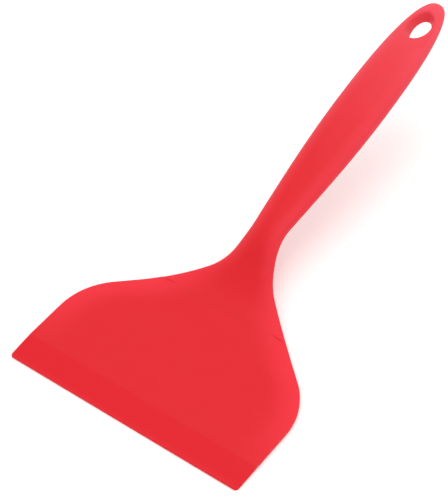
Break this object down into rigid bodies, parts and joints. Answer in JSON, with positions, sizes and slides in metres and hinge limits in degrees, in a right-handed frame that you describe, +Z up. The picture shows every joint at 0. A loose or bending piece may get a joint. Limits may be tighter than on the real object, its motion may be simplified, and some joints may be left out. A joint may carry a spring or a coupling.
{
  "type": "silicone spatula",
  "caption": "Wide flat silicone turner with a bevelled lip, a cranked neck and an oval grip with an oval hang hole, moulded over a spring-steel plate and a nylon core.",
  "frame": {"origin": "on the surface that the blade lies on, under the middle of the bounding box", "axes": "+Y from the blade's lip towards the handle's tip, +X across the blade, +Z up, with the blade's underside on the plane Z = 0"},
  "size_m": [0.141, 0.293, 0.0728],
  "materials": {
    "silicone_blade": "satin",
    "silicone_handle": "satin",
    "spring_steel": "brushed",
    "glass_filled_nylon": "matt"
  },
  "bodies": {
    "root": {"blade": "silicone_blade", "handle_skin": "silicone_handle", "blade_plate": "spring_steel", "handle_core": "glass_filled_nylon"}
  },
  "joints": []
}
